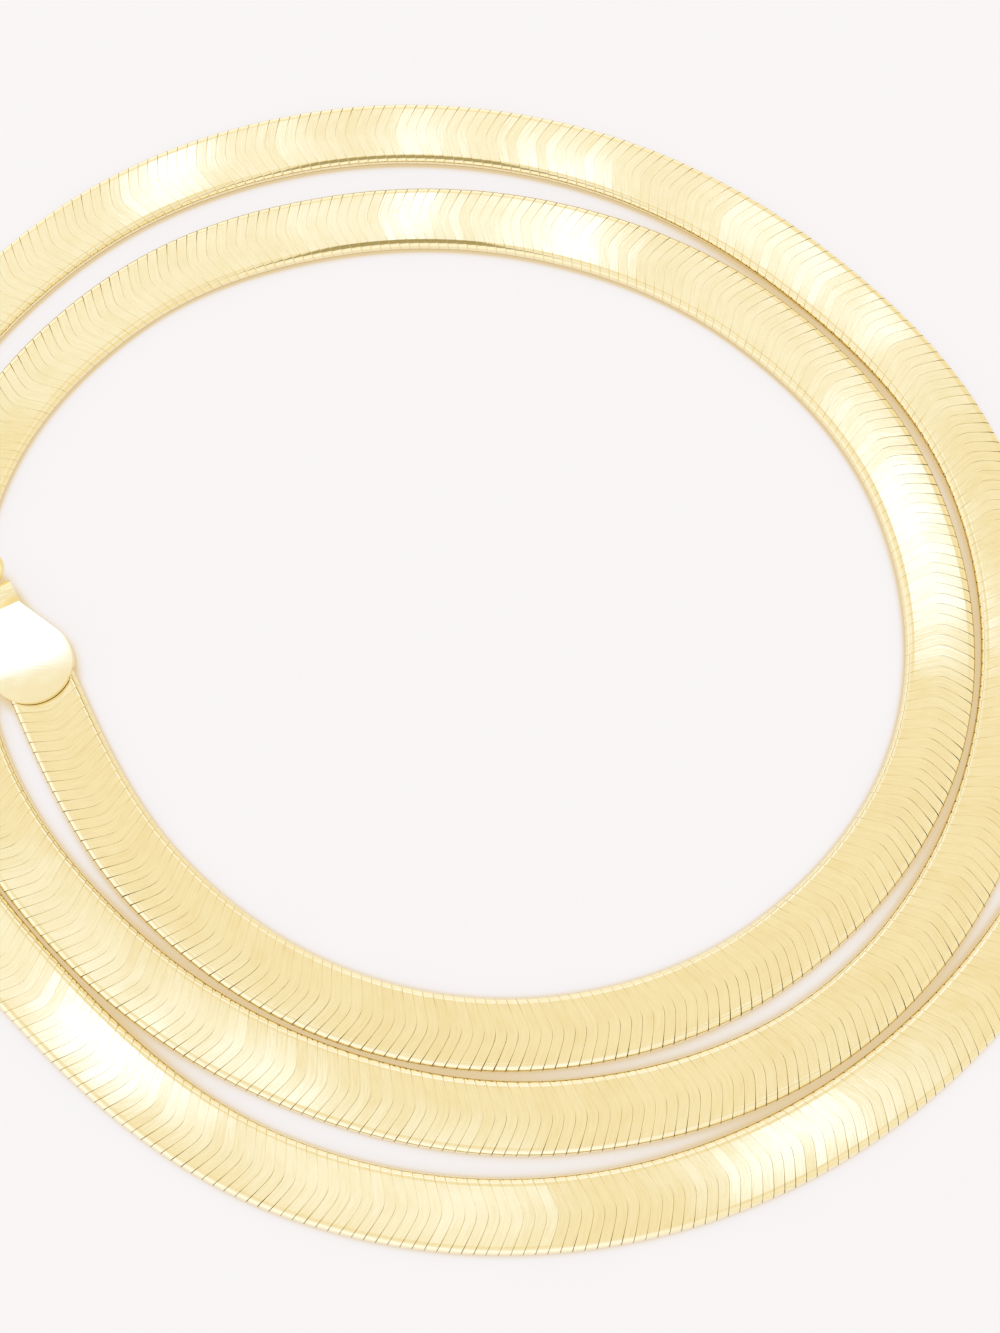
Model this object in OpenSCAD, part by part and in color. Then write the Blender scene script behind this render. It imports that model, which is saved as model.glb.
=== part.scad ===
// Herringbone neck chain, unfastened and laid flat in an open spiral.
// Millimetres. Z is up, the chain lies on Z = 0, and the origin is under the middle of it all.

/* [Chain] */
// Length of the whole chain laid out straight, from the end ring to the tip of the clasp
chain_length = 610; // [480:1:700]
// Width of the woven band, edge to edge
band_width = 5; // [3.5:0.1:6.5]
// Thickness of the woven band
band_thickness = 0.95; // [0.7:0.05:1.3]

/* [Spiral] */
// Mean radius of the innermost turn, at the middle of the band
coil_radius = 32; // [28:0.5:42]

/* [End caps] */
// Length of a cap, from the tip of its tongue to the back of its rolled end
cap_length = 9.4; // [8:0.1:13]
// How far the tongue of a cap reaches over the band
cap_grip = 3.5; // [2.5:0.1:4.5]
// Thickness of a cap's plate and of its side walls
cap_wall = 0.4; // [0.25:0.05:0.6]
// Clear space between a cap and the band inside it
cap_gap = 0.1; // [0.05:0.01:0.2]
// Width of the narrow neck where the plate meets the rolled end
neck_width = 2.2; // [1.6:0.1:2.8]
// Diameter of the rolled end
roll_diameter = 2; // [1.5:0.05:2.1]
// Length of the rolled end, across the chain
roll_length = 2.2; // [2:0.1:3]

/* [Eyes and rings] */
// Outer diameter of the upright eyes on the caps and on the clasp
eye_diameter = 1.7; // [1.6:0.05:2]
// Bore of the upright eyes
eye_bore = 0.85; // [0.75:0.05:0.95]
// Thickness of the upright eyes, along their bore
eye_thickness = 0.5; // [0.4:0.05:0.7]
// Outer diameter of the two rings
ring_diameter = 2.8; // [2.6:0.1:3.6]
// Thickness of the rings' wire
ring_wire = 0.5; // [0.4:0.05:0.6]
// Angle by which the end ring leans up over the next turn of the band
lean_angle = 40; // [36:1:44]
// Angle by which the end ring is swung towards the next turn of the band
swing_angle = 12; // [0:1:14]

/* [Clasp] */
// Length of the clasp, its eye included
clasp_length = 10; // [9:0.5:14]
// Width of the clasp's head
clasp_width = 4.6; // [4:0.1:5.4]
// Thickness of the clasp's body
clasp_thickness = 1.5; // [1.2:0.1:1.7]
// Width of the clasp's limbs, round its opening
limb_width = 1.1; // [0.9:0.05:1.3]

/* [Hidden] */
woven_gold = "#EBD08A";
polished_gold = "#F2DDA0";
$fn = 64;
// Facets of the round parts that are hulled
hull_facets = 32;

// The route of the band, chosen by hand. A row stands at every 30 degrees of turn, the first at -195.
// The innermost turn gives its radius over coil_radius, and its first row only steers the start.
row_step = 30;
first_row_angle = -195;
rows_per_turn = 360 / row_step;
inner_turn = [1.2, -3.5, -4.3, -3.3, -1.2, 1.5, 3.5, 2.6, 0.2, -1.2, -0.6, 1.9, 3.8];
// The outer turns give the clear gap that they leave to the turn inside them.
turn_gaps = [
    1.4, 0.7, 0.2, 0.7, 1.2, 0.3, 0.6, 0.5, 1.6, 2.3, 2, 1.5,
    0.5, 0.2, 1.6, 1.2, 0.4, 1.8, 3.8, 6.4, 8, 8, 8
];
start_angle = -173;
// Turn between two cross sections of the swept band
section_step = 5;
// Half the turn over which the direction of the route is taken
half_chord = 0.5;
// Steps round each rounded edge of the band
edge_steps = 4;
// Least metal between an eye's bore and what the eye is soldered to
bore_clearance = 0.05;
// Radius of the narrow end of the clasp's opening, as a share of its wide end
slot_taper = 0.4;
// How far a cutting shape runs past the faces that it cuts
overcut = 1;

// Radius of the route at each row, each outer turn being laid against the turn inside it
function row_radius(k) =
    k < len(inner_turn)
        ? coil_radius + inner_turn[k]
        : row_radius(k - rows_per_turn) + band_width + turn_gaps[k - len(inner_turn)];
row_radii = [for (k = [0 : len(inner_turn) + len(turn_gaps) - 1]) row_radius(k)];

// A smooth curve through four neighbouring rows, u running from 0 at b to 1 at c
function blend_rows(a, b, c, d, u) =
    b + (c - a) * u / 2 + (2 * a - 5 * b + 4 * c - d) * u * u / 2 + (3 * b - a - 3 * c + d) * u * u * u / 2;
function spiral_radius(angle) =
    let (t = (angle - first_row_angle) / row_step, k = floor(t))
    blend_rows(row_radii[max(k - 1, 0)], row_radii[k], row_radii[k + 1], row_radii[k + 2], t - k);
function spiral_point(angle) = spiral_radius(angle) * [cos(angle), sin(angle)];
function spiral_direction(angle) =
    let (chord = spiral_point(angle + half_chord) - spiral_point(angle - half_chord))
    chord / norm(chord);
// Unit vector across the band, away from the middle of the coil
function across(angle) =
    let (along = spiral_direction(angle))
    [along[1], -along[0]];

// Places along an end cap, from the end face of the band outwards
cap_radius = band_width / 2 + cap_gap + cap_wall;
cap_height = band_thickness + cap_gap + cap_wall;
tongue_x = cap_radius - cap_grip;
roll_x = cap_length - cap_grip - roll_diameter / 2;
eye_x = roll_x + roll_diameter / 2 + bore_clearance + eye_bore / 2;
ring_radius = (ring_diameter - ring_wire) / 2;
clasp_x = eye_x + 2 * ring_radius;

// The band takes the length that the fittings at its two ends leave
inner_fittings = eye_x + 2 * ring_radius + ring_wire / 2;
outer_fittings = clasp_x + clasp_length - eye_diameter / 2;
band_length = chain_length - inner_fittings - outer_fittings;
last_angle = first_row_angle + (len(row_radii) - 2) * row_step - 2 * half_chord;
section_angles = [for (angle = [start_angle : section_step : last_angle]) angle];
function step_length(i) = norm(spiral_point(section_angles[i]) - spiral_point(section_angles[i - 1]));
length_table = [
    for (i = 0, run = 0; i < len(section_angles); i = i + 1,
         run = run + (i < len(section_angles) ? step_length(i) : 0))
        [run, section_angles[i]]
];
end_angle = lookup(band_length, length_table);
band_angles = concat([for (angle = section_angles) if (angle < end_angle - half_chord) angle], [end_angle]);

// An end cap is set straight, in line with the middle of the stretch of band that it grips
function grip_turn(angle) = cap_grip / 2 / spiral_radius(angle) * 180 / PI;
start_direction = -spiral_direction(start_angle + grip_turn(start_angle));
end_direction = spiral_direction(end_angle - grip_turn(end_angle));
function heading(direction) = atan2(direction[1], direction[0]);

// The whole chain is moved so that the middle of its bounding box is over the origin
clasp_head_x = clasp_x + clasp_length - (eye_diameter + clasp_width) / 2;
round_ends = [
    [spiral_point(start_angle) + tongue_x * start_direction, cap_radius],
    [spiral_point(end_angle) + tongue_x * end_direction, cap_radius],
    [spiral_point(end_angle) + clasp_head_x * end_direction, clasp_width / 2]
];
outline_points = concat(
    [for (angle = band_angles, side = [-1, 1]) spiral_point(angle) + side * band_width / 2 * across(angle)],
    [for (disc = round_ends, side = [-1, 1]) disc[0] + side * [disc[1], disc[1]]]
);
outline_x = [for (p = outline_points) p[0]];
outline_y = [for (p = outline_points) p[1]];
coil_centre = -[min(outline_x) + max(outline_x), min(outline_y) + max(outline_y)] / 2;

// Cross section of the band: distance across it and height, with both edges fully rounded
edge_radius = band_thickness / 2;
edge_offset = band_width / 2 - edge_radius;
band_section = [
    for (side = [1, -1], i = [0 : edge_steps])
        let (turn = side * (90 - 180 * i / edge_steps))
        [side * (edge_offset + edge_radius * cos(turn)), edge_radius * (1 + sin(turn))]
];

module at_start() {
    translate(coil_centre + spiral_point(start_angle)) rotate(heading(start_direction)) children();
}

module at_end() {
    translate(coil_centre + spiral_point(end_angle)) rotate(heading(end_direction)) children();
}

// The woven band of links, as one solid swept along the spiral
module herringbone_band() {
    sides = len(band_section);
    rings = len(band_angles);
    points = [
        for (angle = band_angles, p = band_section)
            let (middle = coil_centre + spiral_point(angle) + p[0] * across(angle))
            [middle[0], middle[1], p[1]]
    ];
    walls = [
        for (i = [0 : rings - 2], j = [0 : sides - 1])
            let (k = (j + 1) % sides)
            [i * sides + j, i * sides + k, (i + 1) * sides + k, (i + 1) * sides + j]
    ];
    first_face = [for (j = [sides - 1 : -1 : 0]) j];
    last_face = [for (j = [0 : sides - 1]) (rings - 1) * sides + j];
    color(woven_gold) polyhedron(points, concat(walls, [first_face, last_face]));
}

// Outline of a cap from above: a round tongue whose sides run straight to the narrow neck
module cap_outline() {
    neck = [roll_x - roll_diameter / 2, neck_width / 2];
    reach = neck - [tongue_x, 0];
    tangent = atan2(reach[1], reach[0]) + acos(cap_radius / norm(reach));
    shoulder = [tongue_x + cap_radius * cos(tangent), cap_radius * sin(tangent)];
    translate([tongue_x, 0]) circle(cap_radius);
    polygon([
        [tongue_x, 0], shoulder, neck, [roll_x, neck[1]],
        [roll_x, -neck[1]], [neck[0], -neck[1]], [shoulder[0], -shoulder[1]]
    ]);
}

// An upright eye on the surface, with its bore across the chain
module upright_eye() {
    translate([0, 0, eye_diameter / 2]) rotate([90, 0, 0])
        cylinder(d = eye_diameter, h = eye_thickness, center = true);
}

module eye_hole() {
    translate([0, 0, eye_diameter / 2]) rotate([90, 0, 0])
        cylinder(d = eye_bore, h = 2 * eye_thickness, center = true);
}

// A cap over an end of the band: plate, side walls, closed back, rolled end and soldered eye
module end_cap() {
    pocket = [cap_grip + 4 * cap_gap, band_width + 2 * cap_gap, band_thickness + 2 * cap_gap];
    difference() {
        union() {
            linear_extrude(cap_height) cap_outline();
            translate([roll_x, 0, roll_diameter / 2]) rotate([90, 0, 0])
                cylinder(d = roll_diameter, h = roll_length, center = true);
            translate([eye_x, 0, 0]) upright_eye();
        }
        translate([2 * cap_gap - pocket[0], -pocket[1] / 2, -cap_gap]) cube(pocket);
        translate([eye_x, 0, 0]) eye_hole();
    }
}

module ring() {
    rotate_extrude() translate([ring_radius, 0]) circle(d = ring_wire);
}

module inner_end_cap() {
    color(polished_gold) at_start() end_cap();
}

module outer_end_cap() {
    color(polished_gold) at_end() end_cap();
}

// The ring that the clasp catches, leaning on the next turn of the band
module end_ring() {
    color(polished_gold) at_start() translate([eye_x, 0, eye_diameter / 2])
        rotate([0, -lean_angle, swing_angle]) translate([ring_radius, 0, 0]) ring();
}

// The ring that joins the clasp to its cap
module jump_ring() {
    color(polished_gold) at_end() translate([eye_x + ring_radius, 0, eye_diameter / 2]) ring();
}

// A flat disc with a softened rim, standing on the surface
module soft_disc(radius) {
    soft = clasp_thickness / 4;
    hull() {
        cylinder(r = radius - soft, h = clasp_thickness, $fn = hull_facets);
        translate([0, 0, soft]) cylinder(r = radius, h = clasp_thickness - 2 * soft, $fn = hull_facets);
    }
}

// A plain closed hook: an upright eye, and a pear-shaped loop that lies flat
module clasp() {
    head_radius = clasp_width / 2;
    head_x = clasp_head_x - clasp_x;
    heel_radius = limb_width;
    heel_x = eye_bore / 2 + bore_clearance + heel_radius;
    slot_x = heel_x + heel_radius;
    slot_radius = slot_taper * (head_radius - limb_width);
    color(polished_gold) at_end() translate([clasp_x, 0, 0]) difference() {
        union() {
            upright_eye();
            hull() {
                translate([heel_x, 0, 0]) soft_disc(heel_radius);
                translate([head_x, 0, 0]) soft_disc(head_radius);
            }
        }
        eye_hole();
        translate([0, 0, -overcut]) linear_extrude(clasp_thickness + 2 * overcut) hull() {
            translate([slot_x + slot_radius, 0]) circle(slot_radius, $fn = hull_facets);
            translate([head_x, 0]) circle(head_radius - limb_width, $fn = hull_facets);
        }
    }
}

herringbone_band();
inner_end_cap();
end_ring();
outer_end_cap();
jump_ring();
clasp();
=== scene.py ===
import math

import bmesh
import bpy
import numpy as np
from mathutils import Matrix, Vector


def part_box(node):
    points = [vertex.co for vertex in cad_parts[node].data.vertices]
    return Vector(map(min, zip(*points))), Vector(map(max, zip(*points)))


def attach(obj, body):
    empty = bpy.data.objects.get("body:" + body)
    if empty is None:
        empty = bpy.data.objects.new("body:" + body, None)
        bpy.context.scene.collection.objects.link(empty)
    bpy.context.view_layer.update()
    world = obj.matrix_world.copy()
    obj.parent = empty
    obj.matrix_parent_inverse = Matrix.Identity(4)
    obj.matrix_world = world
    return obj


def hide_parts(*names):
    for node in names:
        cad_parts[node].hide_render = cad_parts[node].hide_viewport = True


# Herringbone neck chain, unfastened and laid flat in a spiral: the woven links, the polished fittings,
# the pale surface, the studio light and the camera. Lengths are in millimetres until a mesh is written.

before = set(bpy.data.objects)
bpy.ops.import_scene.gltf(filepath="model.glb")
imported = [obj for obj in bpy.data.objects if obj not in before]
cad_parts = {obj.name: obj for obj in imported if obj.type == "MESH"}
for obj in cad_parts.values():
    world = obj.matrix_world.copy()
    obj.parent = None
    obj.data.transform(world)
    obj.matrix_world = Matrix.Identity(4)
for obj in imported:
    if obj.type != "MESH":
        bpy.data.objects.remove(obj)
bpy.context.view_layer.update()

MM = 0.001

# The route of the band, as in the part
BAND_WIDTH = 5.0
BAND_THICKNESS = 0.95
BAND_LENGTH = 583.25
COIL_RADIUS = 32.0
ROW_STEP = 30.0
ROWS_PER_TURN = 12
FIRST_ROW_ANGLE = -195.0
START_ANGLE = -173.0
SECTION_STEP = 5.0
HALF_CHORD = 0.5

# How far the innermost turn lies outside the coil's radius at every row, then the clear gaps that the outer
# turns leave to the turn inside them
INNER_TURN = (1.2, -3.5, -4.3, -3.3, -1.2, 1.5, 3.5, 2.6, 0.2, -1.2, -0.6, 1.9, 3.8)
TURN_GAPS = (
    1.4, 0.7, 0.2, 0.7, 1.2, 0.3, 0.6, 0.5, 1.6, 2.3, 2, 1.5,
    0.5, 0.2, 1.6, 1.2, 0.4, 1.8, 3.8, 6.4, 8, 8, 8,
)


def route_radii():
    radii = [COIL_RADIUS + r for r in INNER_TURN]
    for gap in TURN_GAPS:
        radii.append(radii[-ROWS_PER_TURN] + BAND_WIDTH + gap)
    return np.array(radii)


ROUTE_RADII = route_radii()


def route_point(angle):
    """Points of the route, before it is moved over the origin, at an array of angles in degrees. Between the
    rows the radius follows a Catmull-Rom curve."""
    row = (angle - FIRST_ROW_ANGLE) / ROW_STEP
    whole = np.floor(row).astype(int)
    u = row - whole
    a, b, c, d = (ROUTE_RADII[np.maximum(whole + i, 0)] for i in (-1, 0, 1, 2))
    radius = (
        b
        + (c - a) * u / 2
        + (2 * a - 5 * b + 4 * c - d) * u ** 2 / 2
        + (3 * b - a - 3 * c + d) * u ** 3 / 2
    )
    turn = np.radians(angle)
    return np.stack([radius * np.cos(turn), radius * np.sin(turn)], -1)


def route_along(angle):
    chord = route_point(angle + HALF_CHORD) - route_point(angle - HALF_CHORD)
    return chord / np.linalg.norm(chord, axis=-1, keepdims=True)


def route_across(angle):
    """Unit vectors across the band, away from the middle of the coil."""
    along = route_along(angle)
    return np.stack([along[..., 1], -along[..., 0]], -1)


def run_lengths(points):
    steps = np.linalg.norm(np.diff(points, axis=0), axis=1)
    return np.concatenate([[0], np.cumsum(steps)])


def find_end_angle():
    last = FIRST_ROW_ANGLE + (len(ROUTE_RADII) - 2) * ROW_STEP - 2 * HALF_CHORD
    angles = np.arange(START_ANGLE, last, SECTION_STEP)
    return np.interp(BAND_LENGTH, run_lengths(route_point(angles)), angles)


FINE_POINTS = 18001                # steps fine enough to turn a run along the band into an angle
END_ANGLE = find_end_angle()
FINE_ANGLES = np.linspace(START_ANGLE, END_ANGLE, FINE_POINTS)
FINE_RUN = run_lengths(route_point(FINE_ANGLES))
ROUTE_LENGTH = FINE_RUN[-1]


def route_shift():
    """How far the route moves, so that the band lies where its CAD node lies."""
    angles = np.append(np.arange(START_ANGLE, END_ANGLE - HALF_CHORD, SECTION_STEP), END_ANGLE)
    side = BAND_WIDTH / 2 * route_across(angles)
    edges = np.concatenate([route_point(angles) - side, route_point(angles) + side])
    low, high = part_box("herringbone_band")
    middle = np.array([low.x + high.x, low.y + high.y]) / 2 / MM
    return middle - (edges.min(0) + edges.max(0)) / 2


ROUTE_SHIFT = route_shift()


# The links
LINK_PITCH = 0.77
ARM_LEAN = math.radians(24)        # lean of a link's arms from square across the band
VERTEX_ROUND = 0.55                # how far from the middle the arms bend into the rounded vertex
LEAST_GAP = 0.002                  # between neighbours on the inner side of the bend
GAP_PLACES = (-0.3, 0.1, 0.5, 0.9, 1.6, 2.0, 2.5)             # across the band
GAP_WIDTHS = (0.0, 0.012, 0.012, 0.007, 0.010, 0.026, 0.045)  # how far the gaps open there
USUAL_RADIUS = 38.0                # on a bend of this radius
GAP_SPREAD = 0.6                   # how much some gaps are wider or narrower than others
SLACK = (0.68, 0.36)               # share of the gaps that opens at the sides, and how much more in front
SLACK_PLACES = (1.4, 2.1)          # across the band: up to here it counts, and from here on it doesn't
SEAM_START = -0.3                  # from here outwards a link's long edges are rounder
SOFT_INSIDE = 0.003                # rounding of a link's long edges on the inner side of the bend
SOFT_OUTSIDE = 0.022               # and at the outer edge of the band
RIM_START = 1.75                   # from here inwards, towards the rim, the long edges are rounder again
SOFT_RIM = 0.05                    # by this much at the rim
TONGUE_GRIP = 0.06                 # how far a link's tongue reaches into its neighbour's groove
TONGUE_CLEAR = 0.03                # space round the tongue
TONGUE_SHARE = 0.26                # half the tongue's thickness, as a share of half the link's
CORNER_INSIDE = 0.02               # how much narrower a link is at its very ends, inner and outer
CORNER_OUTSIDE = 0.10
SIDE_ROOM = 0.03                   # how much further in the links end than the plain band does
MIDDLE_STATIONS = (1.9, 1.25, 0.8, 0.5, 0.25, 0.0, -0.25, -0.5, -0.8, -1.25, -1.9)  # across the flat part
EDGE_TURNS = (8, 28, 48, 68, 90)   # degrees round the band's rounded edge, from its outermost line
SHARP_ANGLE = 23.5                 # just more than the turn from one face to the next round that edge
LEAN_SPREAD = 0.0018               # how unevenly the links lie, across and along the band, in radians
PITCH_SPREAD = 0.0035
PIECES = 4                         # the links are shared out over so many objects

EDGE_RADIUS = BAND_THICKNESS / 2
EDGE_OFFSET = BAND_WIDTH / 2 - EDGE_RADIUS - SIDE_ROOM


def stations():
    """Places across the band, outer edge first, with half the band's thickness at each."""
    turns = np.radians(EDGE_TURNS)
    edge = EDGE_OFFSET + EDGE_RADIUS * np.cos(turns)
    height = EDGE_RADIUS * np.sin(turns)
    middle = np.array(MIDDLE_STATIONS)
    v = np.concatenate([edge, middle, -edge[::-1]])
    h = np.concatenate([height, np.full(len(middle), EDGE_RADIUS), height[::-1]])
    return v, h


STATION_V, STATION_H = stations()


def chevron(v):
    """How far ahead of the link's own place the line of its arms lies, at v across the band."""
    drop = np.sqrt(v ** 2 + VERTEX_ROUND ** 2) - VERTEX_ROUND
    half = np.sqrt((BAND_WIDTH / 2) ** 2 + VERTEX_ROUND ** 2) - VERTEX_ROUND
    return math.tan(ARM_LEAN) * (half / 2 - drop)


def seam_softness(v):
    share = np.clip((v - SEAM_START) / (BAND_WIDTH / 2 - SEAM_START), 0, 1)
    rim = np.clip((-v - RIM_START) / (BAND_WIDTH / 2 - RIM_START), 0, 1)
    return SOFT_INSIDE + (SOFT_OUTSIDE - SOFT_INSIDE) * share + SOFT_RIM * rim


def link_section(half, gap, h, softness):
    """Outline of a link cut along the band, counter-clockwise seen from its outer edge: a list of
    (run, height) arrays. The front has a tongue that lies in the groove at the back of the next link."""
    soft = np.minimum(softness, h / 2)
    tongue = TONGUE_SHARE * h
    grip = TONGUE_GRIP * h / EDGE_RADIUS
    clear = TONGUE_CLEAR * h / EDGE_RADIUS
    front = half + gap + grip
    taper = grip / 3
    top = [(-half, h - soft), (-half + soft, h), (half - soft, h), (half, h - soft)]
    face = [(half, tongue), (front, tongue - taper), (front, taper - tongue), (half, -tongue)]
    bottom = [(run, -height) for run, height in reversed(top)]
    groove_height = tongue + clear
    groove_depth = -half + grip + clear
    back = [
        (-half, -groove_height), (groove_depth, -groove_height),
        (groove_depth, groove_height), (-half, groove_height),
    ]
    return top + face + bottom + back


SECTION_POINTS = 16                # of a link's outline
UNDER_SPANS = (8, 9, 10)           # between its points: the lower face and its chamfers
# Spans that take woven_gold; the rest, down in the gaps, take the painted shade of the darker material
WOVEN_GOLD_SPANS = (0, 1, 2, *UNDER_SPANS)              # the upper face and chamfers too

LEAN_WAVES = ((0.003, 6.1, 0.8), (0.002, 3.3, 2.0))   # lean, length over 2 pi and phase of each wave
RISE_WAVES = ((7.3, 0.0), (4.1, 1.3))                 # length over 2 pi and phase
RISE_SIZE = 0.008
WAVE_FLOOR = 0.016                 # keeps the lowest trough on the surface
FADE_START = 0.6                   # where the waves begin, as a share of the fade's length
FADE_LENGTH = 14.0


def sheet_wave(run):
    """Rise of the band and its lean across and along, in millimetres and radians, where it doesn't lie quite
    flat. The waves die away towards the caps."""
    fade = np.clip(np.minimum(run, ROUTE_LENGTH - run) / FADE_LENGTH - FADE_START, 0, 1)
    across = sum(size * np.sin(run / length + phase) for size, length, phase in LEAN_WAVES)
    rise = RISE_SIZE * sum(np.sin(run / length + phase) for length, phase in RISE_WAVES)
    along = RISE_SIZE * sum(np.cos(run / length + phase) / length for length, phase in RISE_WAVES)
    lift = np.abs(across) * BAND_WIDTH / 2 + WAVE_FLOOR + rise
    return fade * lift, fade * across, fade * along


def link_points(runs, seed):
    """Points of the links at these runs along the band, as an array of link, station, outline point and
    xyz, with the place of each point along and across the band and a tone for each link."""
    rng = np.random.default_rng(seed)
    count = len(runs)
    angles = np.interp(runs, FINE_RUN, FINE_ANGLES)
    ahead = route_along(angles + HALF_CHORD)
    behind = route_along(angles - HALF_CHORD)
    bend = ahead[:, 0] * behind[:, 1] - ahead[:, 1] * behind[:, 0]
    chord = np.linalg.norm(route_point(angles + HALF_CHORD) - route_point(angles - HALF_CHORD), axis=1)
    curve = np.abs(bend) / chord
    v = np.broadcast_to(STATION_V, (count, len(STATION_V)))
    h = np.broadcast_to(STATION_H, v.shape)
    stretch = 1 + curve[:, None] * v
    opening = np.interp(v, GAP_PLACES, GAP_WIDTHS) * USUAL_RADIUS * curve[:, None]
    opening *= rng.uniform(1 - GAP_SPREAD, 1 + GAP_SPREAD, (count, 1))
    slack = SLACK[0] - SLACK[1] * np.sin(np.radians(angles))[:, None]
    opening *= slack + (1 - slack) * np.clip((v - SLACK_PLACES[0]) / np.ptp(SLACK_PLACES), 0, 1)
    corner = np.where(v > 0, CORNER_OUTSIDE, CORNER_INSIDE) * (1 - h / EDGE_RADIUS) ** 2
    gap = LEAST_GAP + opening + corner
    half = (LINK_PITCH * stretch - gap) / 2
    outline = link_section(half, gap, h, seam_softness(v))
    own_run = np.stack([p[0] for p in outline], -1) / stretch[..., None]
    along = own_run + chevron(v)[..., None]
    height = np.stack([np.broadcast_to(p[1], v.shape) for p in outline], -1)
    lift, lean, pitch = sheet_wave(runs)
    lean = lean + rng.normal(0, LEAN_SPREAD, count)
    pitch = pitch + rng.normal(0, PITCH_SPREAD, count)
    height = height + height_of(v, along, lean, pitch)
    angle = np.interp(runs[:, None, None] + along, FINE_RUN, FINE_ANGLES)
    place = route_point(angle) + route_across(angle) * v[..., None, None] + ROUTE_SHIFT
    z = np.maximum(EDGE_RADIUS + lift[:, None, None] + height, 0)
    points = np.concatenate([place, z[..., None]], -1)
    route = np.stack([runs[:, None, None] + own_run, np.broadcast_to(v[..., None], along.shape), z], -1)
    tone = np.broadcast_to(rng.random(count)[:, None, None], along.shape)
    return points, route, tone


def height_of(v, along, lean, pitch):
    """Rise of a point of a link that leans by small angles across and along the band."""
    return v[..., None] * lean[:, None, None] + along * pitch[:, None, None]


def link_faces(count):
    """Quads between the stations of each link and a face at each end, with their materials."""
    across, around = len(STATION_V), SECTION_POINTS
    i, j = np.meshgrid(np.arange(across - 1), np.arange(around), indexing="ij")
    k = (j + 1) % around
    quads = np.stack([i * around + j, i * around + k, (i + 1) * around + k, (i + 1) * around + j], -1)
    quads = quads.reshape(-1, 4)
    on_edge = (i < len(EDGE_TURNS) - 1) | (i >= across - len(EDGE_TURNS))
    # Painted shade: faces between links and the lower face of the rounded edges take the darker material
    underside = on_edge & np.isin(j, UNDER_SPANS)
    kinds = np.where(np.isin(j, WOVEN_GOLD_SPANS) & ~underside, 0, 1).reshape(-1)
    first = np.arange(around)[::-1]
    last = (across - 1) * around + np.arange(around)
    faces, materials = [], []
    for n in range(count):
        base = n * across * around
        faces.extend((quads + base).tolist())
        faces.append((first + base).tolist())
        faces.append((last + base).tolist())
        materials.extend(kinds.tolist())
        materials.extend([0, 0])
    return faces, materials


def make_links(name, runs, seed, materials):
    points, route, tone = link_points(runs, seed)
    faces, kinds = link_faces(len(runs))
    mesh = bpy.data.meshes.new(name)
    mesh.from_pydata((points.reshape(-1, 3) * MM).tolist(), [], faces)
    mesh.polygons.foreach_set("material_index", kinds)
    mesh.polygons.foreach_set("use_smooth", [True] * len(faces))
    mesh.set_sharp_from_angle(angle=math.radians(SHARP_ANGLE))
    place = mesh.attributes.new("route", "FLOAT_VECTOR", "POINT")
    place.data.foreach_set("vector", route.reshape(-1).astype(np.float32))
    shade = mesh.attributes.new("tone", "FLOAT", "POINT")
    shade.data.foreach_set("value", tone.reshape(-1).astype(np.float32))
    for material in materials:
        mesh.materials.append(material)
    piece = bpy.data.objects.new(name, mesh)
    bpy.context.scene.collection.objects.link(piece)
    return piece


# Materials
LINK_GOLD = (0.925, 0.765, 0.405), (0.95, 0.80, 0.45)   # two colours are the ends of a blend
LINK_ROUGHNESS = (0.06, 0.11)
HATCHING = (1.0, 2.0, (5.5, 0.7, 1.0))    # a noise's scale, detail and stretch along, across and up
HATCHING_GOLD = (0.82, 0.65, 0.28)
HATCHING_SHARE = 0.5
HATCHING_BUMP = (0.004, 0.35)             # a bump's depth in millimetres and its strength
GRAIN = (1.0, 3.0, (14.0, 7.0, 3.0))
CLOUDS = (1.0, 2.0, (0.35, 0.5, 1.0))
CLOUD_GOLD = (0.96, 0.83, 0.50)
CLOUD_SHARE = 0.4
# Painted highlight: a paler gold along the band's rounded edges
RIM_HIGHLIGHT_GOLD = (0.97, 0.885, 0.63)
RIM_HIGHLIGHT_PLACES = (2.02, 2.18)                 # how far from the band's middle this colour begins and is full
INNER_RIM_HIGHLIGHT_SHARE = 0.5                     # of this colour, at the inner edge
# Painted shade: a darker gold for the link faces down in the gaps and under the rounded edges
GAP_SHADE_GOLD = (0.42, 0.30, 0.10), (0.60, 0.45, 0.18)
GROOVE_ROUGHNESS = (0.35, 0.55)
GAP_SHADE_NOISE = (3.0, 3.0)
GAP_SHADE_BUMP = (0.006, 0.4)
PLATE_GOLD = (0.92, 0.78, 0.45), (0.96, 0.83, 0.51)
PLATE_ROUGHNESS = (0.035, 0.06)
HAZE = (700.0, 3.0)
HAIRLINES = (1.0, 3.0, (1200.0, 9000.0, 1200.0))
HAIRLINE_BUMP = (0.002, 0.1)
PAPER = (0.125, 0.120, 0.122), (0.145, 0.140, 0.142)
PAPER_ROUGHNESS = 0.75
PAPER_SPECULAR = 0.2
MOTTLE = (120.0, 4.0)
PAPER_GLOW_AND_GAP_SHADE = (0.86, 0.66, 0.36), (1.0, 0.97, 0.975)   # painted shade and gold bounce light in a narrow gap, and the even glow in the open
PAPER_GLOW_STRENGTH = 0.8
OPENNESS_REACH = 1.5                      # how far round a spot its openness is looked at
OPENNESS_SAMPLES = 8
OPENNESS_LEVELS = (0.5, 0.66)             # of a spot in a narrow gap, and of one in the open


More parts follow.
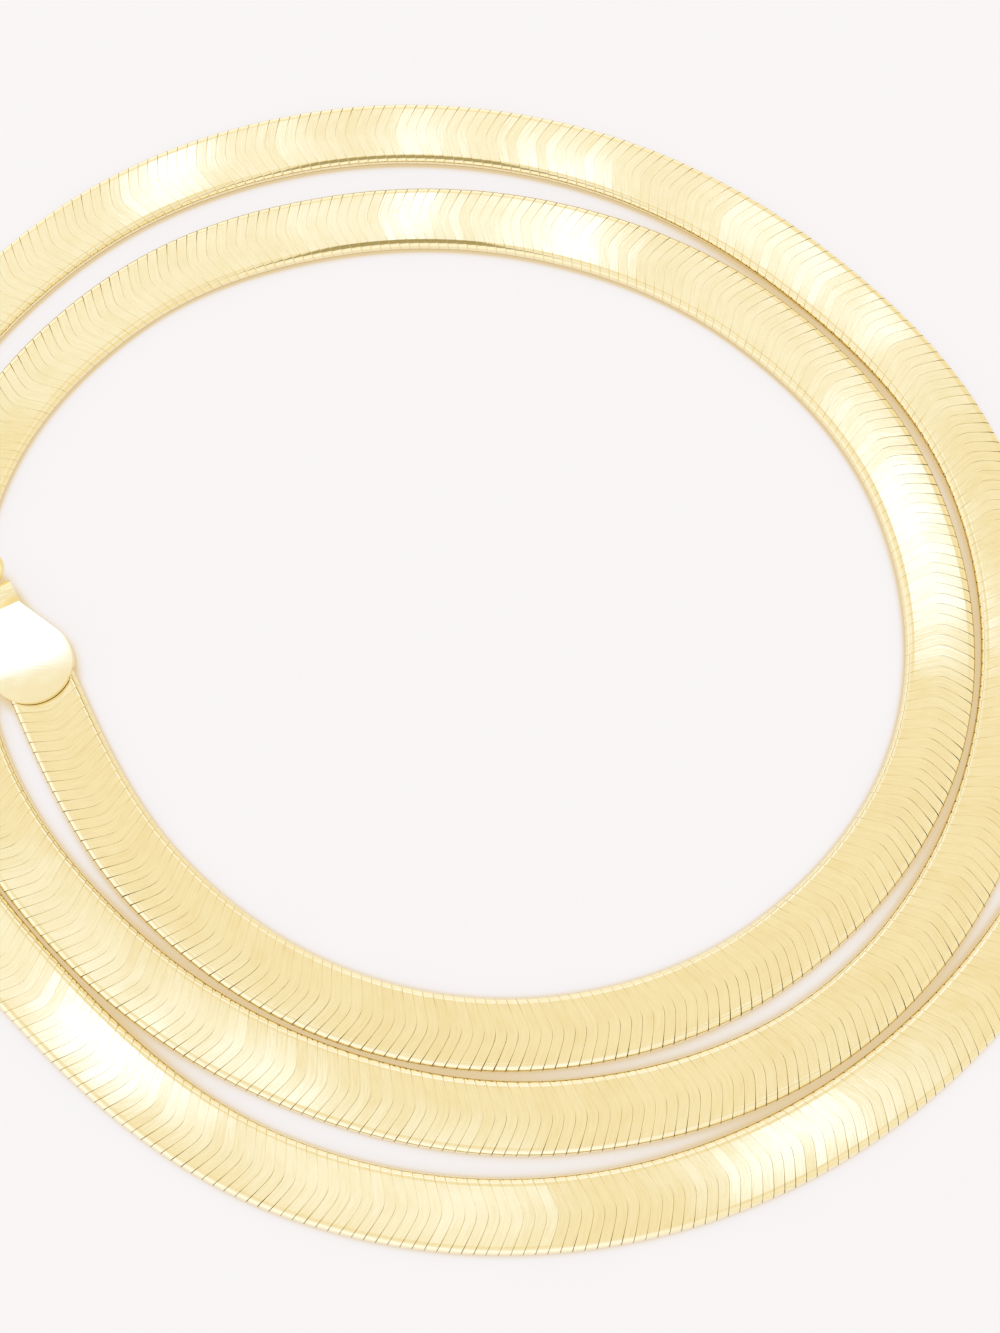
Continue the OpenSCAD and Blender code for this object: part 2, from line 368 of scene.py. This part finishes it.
class Nodes:
    """The node tree of a material or a world, with short ways to add nodes and join them."""

    def __init__(self, owner, shader):
        owner.use_nodes = True
        self.owner = owner
        self.tree = owner.node_tree
        self.shader = self.tree.nodes[shader]

    def add(self, kind, **settings):
        node = self.tree.nodes.new(kind)
        for key, value in settings.items():
            setattr(node, key, value)
        return node

    def join(self, out, into):
        self.tree.links.new(out, into)

    def attribute(self, name, output):
        return self.add("ShaderNodeAttribute", attribute_name=name).outputs[output]

    def coordinates(self, output):
        return self.add("ShaderNodeTexCoord").outputs[output]

    def parts(self, vector):
        node = self.add("ShaderNodeSeparateXYZ")
        self.join(vector, node.inputs[0])
        return node.outputs

    def noise(self, vector, scale, detail, stretch=None):
        if stretch:
            mapping = self.add("ShaderNodeMapping")
            mapping.inputs["Scale"].default_value = stretch
            self.join(vector, mapping.inputs["Vector"])
            vector = mapping.outputs["Vector"]
        node = self.add("ShaderNodeTexNoise")
        node.inputs["Scale"].default_value = scale
        node.inputs["Detail"].default_value = detail
        self.join(vector, node.inputs["Vector"])
        return node.outputs["Fac"]

    def spread(self, value, low, high, start=0.3, end=0.7, shape="LINEAR"):
        """A value that goes from low to high while the given one goes from start to end. Most noises lie
        between the start and end that are set here."""
        node = self.add("ShaderNodeMapRange", interpolation_type=shape)
        node.inputs["From Min"].default_value = start
        node.inputs["From Max"].default_value = end
        node.inputs["To Min"].default_value = low
        node.inputs["To Max"].default_value = high
        self.join(value, node.inputs["Value"])
        return node.outputs["Result"]

    def blend(self, value, first, second):
        node = self.add("ShaderNodeMix", data_type="RGBA")
        self.join(value, node.inputs["Factor"])
        for socket, colour in ((node.inputs["A"], first), (node.inputs["B"], second)):
            if isinstance(colour, tuple):
                socket.default_value = (*colour, 1)
            else:
                self.join(colour, socket)
        return node.outputs["Result"]

    def bump(self, height, depth, strength):
        node = self.add("ShaderNodeBump")
        node.inputs["Distance"].default_value = depth * MM
        node.inputs["Strength"].default_value = strength
        self.join(height, node.inputs["Height"])
        self.join(node.outputs["Normal"], self.shader.inputs["Normal"])


def new_material(name):
    return Nodes(bpy.data.materials.new(name), "Principled BSDF")


def woven_gold():
    """Polished faces of the links: fine hatching along their arms, clouds, a tone of each link's own, and a
    painted highlight of paler gold along the rims."""
    nodes = new_material("woven_gold")
    nodes.shader.inputs["Metallic"].default_value = 1
    route = nodes.attribute("route", "Vector")
    tone = nodes.attribute("tone", "Fac")
    hatching = nodes.noise(route, *HATCHING)
    grain = nodes.noise(route, *GRAIN)
    clouds = nodes.noise(route, *CLOUDS)
    base = nodes.blend(tone, *LINK_GOLD)
    base = nodes.blend(nodes.spread(hatching, 0, HATCHING_SHARE), base, HATCHING_GOLD)
    base = nodes.blend(nodes.spread(clouds, 0, CLOUD_SHARE), base, CLOUD_GOLD)
    # Painted highlight: paler gold over the rounded edges, at half strength on the inner edge
    _, outwards, _ = nodes.parts(route)
    near, far = RIM_HIGHLIGHT_PLACES
    base = nodes.blend(nodes.spread(outwards, 0, 1, near, far), base, RIM_HIGHLIGHT_GOLD)
    base = nodes.blend(nodes.spread(outwards, INNER_RIM_HIGHLIGHT_SHARE, 0, -far, -near), base, RIM_HIGHLIGHT_GOLD)
    nodes.join(base, nodes.shader.inputs["Base Color"])
    nodes.join(nodes.spread(grain, *LINK_ROUGHNESS), nodes.shader.inputs["Roughness"])
    nodes.bump(hatching, *HATCHING_BUMP)
    return nodes.owner


def gap_shade_gold():
    """Sides of the links, down in the gaps, and the lower face of the rounded edges, in a darker gold that
    is painted shade.
    """
    nodes = new_material("gap_shade_gold")
    nodes.shader.inputs["Metallic"].default_value = 1
    gap_shade_noise = nodes.noise(nodes.attribute("route", "Vector"), *GAP_SHADE_NOISE)
    nodes.join(nodes.blend(gap_shade_noise, *GAP_SHADE_GOLD), nodes.shader.inputs["Base Color"])
    nodes.join(nodes.spread(gap_shade_noise, *GROOVE_ROUGHNESS), nodes.shader.inputs["Roughness"])
    nodes.bump(gap_shade_noise, *GAP_SHADE_BUMP)
    return nodes.owner


def polished_gold():
    """Mirror-polished plate of the caps, rings and clasp, with hairline scratches."""
    nodes = new_material("polished_gold")
    nodes.shader.inputs["Metallic"].default_value = 1
    place = nodes.coordinates("Object")
    haze = nodes.noise(place, *HAZE)
    hairlines = nodes.noise(place, *HAIRLINES)
    nodes.join(nodes.blend(haze, *PLATE_GOLD), nodes.shader.inputs["Base Color"])
    nodes.join(nodes.spread(haze, *PLATE_ROUGHNESS), nodes.shader.inputs["Roughness"])
    nodes.bump(hairlines, *HAIRLINE_BUMP)
    return nodes.owner


def pale_surface():
    """Overexposed white paper that glows evenly, with painted shade and painted gold bounce light, a warm
    tan, in the narrow gaps between gold strands.
    """
    nodes = new_material("pale_surface")
    mottle = nodes.noise(nodes.coordinates("Object"), *MOTTLE)
    nodes.join(nodes.blend(mottle, *PAPER), nodes.shader.inputs["Base Color"])
    nodes.shader.inputs["Roughness"].default_value = PAPER_ROUGHNESS
    nodes.shader.inputs["Specular IOR Level"].default_value = PAPER_SPECULAR
    openness = nodes.add("ShaderNodeAmbientOcclusion", samples=OPENNESS_SAMPLES)
    openness.inputs["Distance"].default_value = OPENNESS_REACH * MM
    # Painted shade and gold bounce light: the glow turns tan where little round a spot is open
    share = nodes.spread(openness.outputs["AO"], 0, 1, *OPENNESS_LEVELS)
    nodes.join(nodes.blend(share, *PAPER_GLOW_AND_GAP_SHADE), nodes.shader.inputs["Emission Color"])
    nodes.shader.inputs["Emission Strength"].default_value = PAPER_GLOW_STRENGTH
    return nodes.owner


# Fittings
WELD_DISTANCE = 0.002
FLAT_ANGLE = 1.0                   # faces that meet at less are one flat face
EDGE_ANGLE = 38.0                  # edges that turn by more are softened
BEVEL = 0.18
BEVEL_SEGMENTS = 3
BEVEL_PROFILE = 0.5                # round
SMOOTH_ANGLE = 50.0                # edges that still turn by more afterwards stay sharp


def dress(node, name, material, bevel):
    """A fitting with the node's own shape and softened edges, in place of the plain solid."""
    body = bmesh.new()
    body.from_mesh(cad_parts[node].data)
    bmesh.ops.remove_doubles(body, verts=body.verts, dist=WELD_DISTANCE * MM)
    bmesh.ops.dissolve_limit(
        body, angle_limit=math.radians(FLAT_ANGLE), verts=body.verts, edges=body.edges
    )
    if bevel:
        turn = math.radians(EDGE_ANGLE)
        sharp = [e for e in body.edges if len(e.link_faces) == 2 and e.calc_face_angle(0) > turn]
        bmesh.ops.bevel(
            body, geom=sharp, offset=bevel * MM, segments=BEVEL_SEGMENTS, profile=BEVEL_PROFILE,
            affect="EDGES", clamp_overlap=True,
        )
    mesh = bpy.data.meshes.new(name)
    body.to_mesh(mesh)
    body.free()
    mesh.polygons.foreach_set("use_smooth", [True] * len(mesh.polygons))
    mesh.set_sharp_from_angle(angle=math.radians(SMOOTH_ANGLE))
    mesh.materials.append(material)
    piece = bpy.data.objects.new(name, mesh)
    flat_faces = piece.modifiers.new("flat_faces", "WEIGHTED_NORMAL")
    flat_faces.keep_sharp = True
    bpy.context.scene.collection.objects.link(piece)
    return piece


# Camera, fitted to the photo in its 1000 by 1333 pixel frame
IMAGE_SIZE = (1000, 1333)
FOCAL_PIXELS = 2000
SENSOR_WIDTH = 36
CAMERA_ELEVATION = math.radians(75)
CAMERA_DISTANCE = 142.5
LOOK_AT = (0.62, -2.09, 0.0)
CLIP_START = 10.0


def make_camera():
    camera = bpy.data.objects.new("camera", bpy.data.cameras.new("camera"))
    back = Vector((0, -math.cos(CAMERA_ELEVATION), math.sin(CAMERA_ELEVATION)))
    camera.location = (Vector(LOOK_AT) + back * CAMERA_DISTANCE) * MM
    camera.rotation_euler = (-back).to_track_quat("-Z", "Y").to_euler()
    camera.data.sensor_width = SENSOR_WIDTH
    camera.data.lens = FOCAL_PIXELS / max(IMAGE_SIZE) * SENSOR_WIDTH
    camera.data.clip_start = CLIP_START * MM
    bpy.context.scene.collection.objects.link(camera)
    bpy.context.scene.camera = camera
    return camera


# Light: a pale warm tent, a dark card, and cool soft panels overhead
PANEL_HEIGHT = 600.0
PANEL_STEP = 2.0                   # between one panel and the next, so that overlapping panels both show
PANEL_COLOUR = (0.18, 0.38, 1.0)
PANEL_POWER = 4                    # watts for each square metre, at a brightness of 1

# Each panel is placed by the patch of the picture where the flat band mirrors it: the two ends of the patch
# and its width in pixels of the picture, and how bright the panel is
PANELS = (
    # all over the top
    (-60, 200, 1060, 200, 420, 0.25),
    # outer strand, top
    (126, 198, 210, 158, 66, 0.9),
    (150, 186, 196, 164, 46, 0.5),
    (282, 116, 300, 162, 34, 0.8),
    (395, 147, 445, 146, 26, 1.3),
    (400, 118, 460, 118, 30, 0.4),
    (514, 150, 610, 178, 44, 1.1),
    (722, 222, 775, 246, 54, 0.7),
    (785, 250, 828, 276, 56, 0.95),
    (860, 295, 895, 325, 44, 1.1),
    # inner strand, top
    (285, 222, 310, 222, 44, 0.4),
    (300, 228, 365, 216, 58, 0.2),
    (392, 212, 452, 210, 58, 1.2),
    (478, 218, 535, 222, 60, 0.35),
    (535, 222, 615, 250, 62, 1.2),
    # inner strand, right
    (828, 392, 880, 450, 58, 0.65),
    (880, 450, 925, 545, 70, 1.4),
    (925, 545, 943, 640, 76, 1.2),
    (943, 640, 945, 680, 60, 0.3),
    # lower left
    (-40, 900, 240, 1100, 150, 0.33),
    (60, 1000, 160, 1085, 66, 1.2),
    (160, 1085, 218, 1126, 56, 0.4),
    (222, 1046, 342, 1100, 58, 0.35),
    (262, 1080, 318, 1098, 38, 0.7),
    # bottom
    (240, 1140, 540, 1215, 110, 0.35),
    (440, 1188, 520, 1194, 32, 0.25),
    (630, 1168, 700, 1158, 34, 0.35),
    # lower right
    (700, 1188, 762, 1158, 60, 0.45),
    (764, 1170, 862, 1110, 66, 1.3),
    (862, 1110, 942, 1052, 58, 0.4),
    # inner cap
    (-60, 652, 60, 616, 84, 1.2),
)


def mirror_spot(camera, px, py, height):
    """Where the camera's ray through a pixel of the picture, mirrored by the flat band, comes to a height
    overhead, in metres."""
    pixel = Vector((px - IMAGE_SIZE[0] / 2, IMAGE_SIZE[1] / 2 - py, -FOCAL_PIXELS))
    ray = camera.rotation_euler.to_matrix() @ pixel
    eye = camera.location
    hit = eye + ray * (BAND_THICKNESS * MM - eye.z) / ray.z
    bounce = Vector((ray.x, ray.y, -ray.z))
    return hit + bounce * (height * MM - hit.z) / bounce.z


def make_panels(camera):
    for i, (x0, y0, x1, y1, width, glow) in enumerate(PANELS):
        height = PANEL_HEIGHT + i * PANEL_STEP
        middle = (x0 + x1) / 2, (y0 + y1) / 2
        length = math.hypot(x1 - x0, y1 - y0)
        aside = (y0 - y1) / length * width / 2, (x1 - x0) / length * width / 2
        along = mirror_spot(camera, x1, y1, height) - mirror_spot(camera, x0, y0, height)
        across = (
            mirror_spot(camera, middle[0] + aside[0], middle[1] + aside[1], height)
            - mirror_spot(camera, middle[0] - aside[0], middle[1] - aside[1], height)
        )
        light = bpy.data.lights.new(f"panel_{i}", "AREA")
        light.shape = "RECTANGLE"
        light.size = along.length
        light.size_y = across.length
        light.energy = PANEL_POWER * glow * light.size * light.size_y
        light.color = PANEL_COLOUR
        lamp = bpy.data.objects.new(f"panel_{i}", light)
        lamp.location = mirror_spot(camera, *middle, height)
        lamp.rotation_euler = (0, 0, math.atan2(along.y, along.x))
        lamp.visible_camera = False
        bpy.context.scene.collection.objects.link(lamp)


TENT = (1.0, 0.99, 0.98)               # overhead
TENT_SIDE = (1.12, 1.12, 1.14)         # low down all round
TENT_RIGHT = (0.98, 0.89, 0.64)        # low down on the right
LOW_HEIGHTS = (0.85, 0.6)              # where the tent turns from overhead to low down, on a unit ball
RIGHT_PLACES = (0.1, 0.5)              # and where it turns to the right side


def make_tent():
    world = bpy.data.worlds.new("tent")
    bpy.context.scene.world = world
    nodes = Nodes(world, "Background")
    x, _, height = nodes.parts(nodes.coordinates("Generated"))
    on_right = nodes.spread(x, 0, 1, *RIGHT_PLACES, "SMOOTHSTEP")
    low_down = nodes.spread(height, 0, 1, *LOW_HEIGHTS, "SMOOTHSTEP")
    low_light = nodes.blend(on_right, TENT_SIDE, TENT_RIGHT)
    nodes.join(nodes.blend(low_down, TENT, low_light), nodes.shader.inputs["Color"])


CARD = (-14.5, -1.0, 15.0, 44.0, 30.0)   # left, right, near and far sides and height
CARD_GLOW = (0.43, 0.38, 0.24)
FLOOR = (-1500.0, 1500.0, -1500.0, 1500.0, 0.0)


def flat_sheet(name, place, material):
    left, right, near, far, height = (side * MM for side in place)
    corners = [(left, near, height), (right, near, height), (right, far, height), (left, far, height)]
    mesh = bpy.data.meshes.new(name)
    mesh.from_pydata(corners, [], [(0, 1, 2, 3)])
    mesh.materials.append(material)
    sheet = bpy.data.objects.new(name, mesh)
    bpy.context.scene.collection.objects.link(sheet)
    return sheet


def card_black():
    """Black card with a dim warm glow, so that it looks the same from everywhere."""
    nodes = new_material("dark_card")
    nodes.shader.inputs["Base Color"].default_value = (0, 0, 0, 1)
    nodes.shader.inputs["Roughness"].default_value = 1
    nodes.shader.inputs["Emission Color"].default_value = (*CARD_GLOW, 1)
    nodes.shader.inputs["Emission Strength"].default_value = 1
    return nodes.owner


def make_card():
    """A card over the coil, out of the camera's sight, that the inner edges of the far strands mirror."""
    card = flat_sheet("dark_card", CARD, card_black())
    card.visible_camera = False
    card.visible_diffuse = False
    card.visible_shadow = False


def make_floor():
    floor = flat_sheet("floor", FLOOR, pale_surface())


# Making it all
camera = make_camera()
make_panels(camera)
make_tent()
make_card()
make_floor()
bpy.context.scene.view_settings.view_transform = "Standard"

# The second material is the painted shade of the gaps and edge undersides
link_materials = (woven_gold(), gap_shade_gold())
end_room = chevron(0.0) + LINK_PITCH / 2 + TONGUE_GRIP
link_count = int((ROUTE_LENGTH - 2 * end_room) / LINK_PITCH) + 1
link_runs = ROUTE_LENGTH / 2 + LINK_PITCH * (np.arange(link_count) - (link_count - 1) / 2)
for number, runs in enumerate(np.array_split(link_runs, PIECES), 1):
    piece = make_links(f"links_{number}", runs, number, link_materials)
    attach(piece, "root")
    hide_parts("herringbone_band")

polish = polished_gold()
for node, bevel in (
    ("inner_end_cap", BEVEL), ("outer_end_cap", BEVEL), ("end_ring", 0), ("jump_ring", 0), ("clasp", BEVEL)
):
    fitting = dress(node, "polished_" + node, polish, bevel)
    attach(fitting, "root")
    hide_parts(node)
